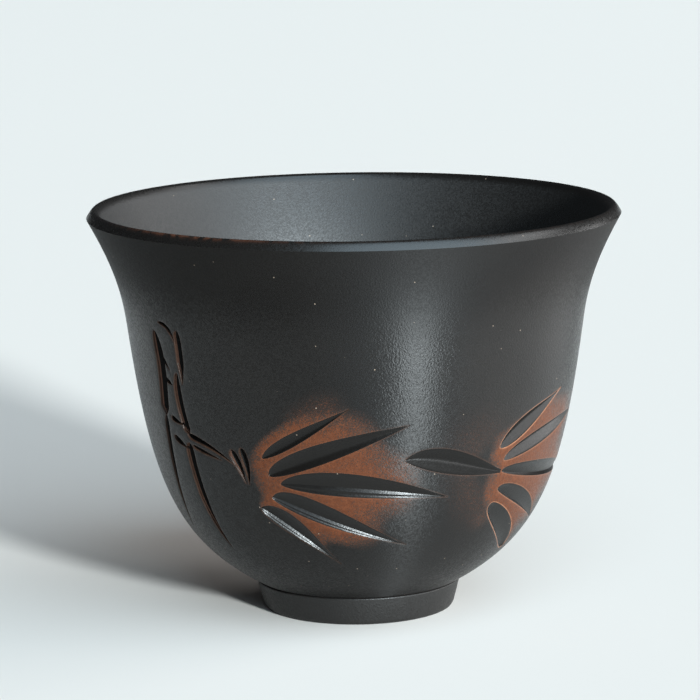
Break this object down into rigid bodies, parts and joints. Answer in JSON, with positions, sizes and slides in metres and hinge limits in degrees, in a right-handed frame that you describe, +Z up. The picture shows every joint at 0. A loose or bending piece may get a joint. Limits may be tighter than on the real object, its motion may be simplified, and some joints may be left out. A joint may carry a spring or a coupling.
{
  "type": "teacup",
  "caption": "Handleless clay teacup: thrown bowl with a flared lip on a luted foot ring, black slip coat and carved bamboo sprays, for hot tea.",
  "frame": {"origin": "centre of the foot's standing face, on the table", "axes": "+Z up along the cup's axis; -Y faces the carved front, +X to the right of it"},
  "size_m": [0.074, 0.074, 0.0566],
  "materials": {
    "red_clay": "matte unglazed red-brown stoneware, fine grained",
    "black_slip": "satin unglazed black slip, burnished, fine grained"
  },
  "bodies": {
    "root": {"bowl": "red_clay", "foot_ring": "red_clay", "luting_slip": "black_slip", "outer_slip": "black_slip", "inner_slip": "black_slip", "foot_slip": "black_slip", "base_slip": "black_slip", "left_leaf_slip": "black_slip", "right_leaf_slip": "black_slip"}
  },
  "joints": []
}
